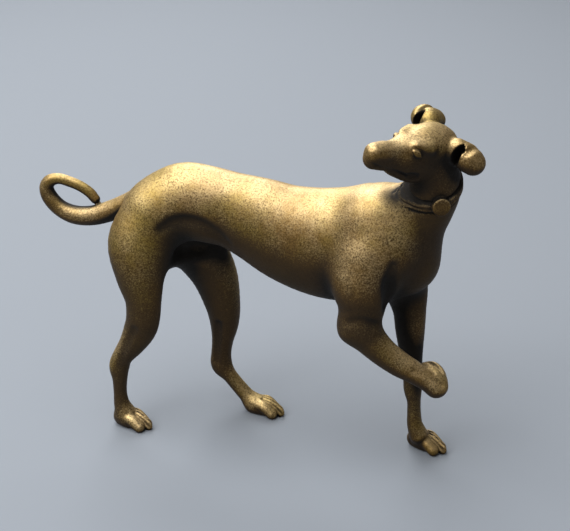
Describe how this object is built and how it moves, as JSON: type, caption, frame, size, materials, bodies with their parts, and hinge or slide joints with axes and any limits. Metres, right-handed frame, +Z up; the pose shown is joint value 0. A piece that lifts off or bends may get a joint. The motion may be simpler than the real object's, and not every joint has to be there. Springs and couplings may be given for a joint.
{
  "type": "dog figurine",
  "caption": "Solid brass figurine of a lean hound standing with a folded forepaw raised, tail curled into a ring, head turned back, wearing a collar with a round tag.",
  "frame": {"origin": "on the ground the paws stand on, below the middle of the figurine's box", "axes": "+X from tail to chest, along the longest extent; +Y to the dog's left; +Z up"},
  "size_m": [0.1242, 0.0362, 0.0983],
  "materials": {
    "aged_brass": "aged, dark in the hollows and rubbed bright on the raised parts"
  },
  "bodies": {
    "root": {"dog_figure": "aged_brass"}
  },
  "joints": []
}
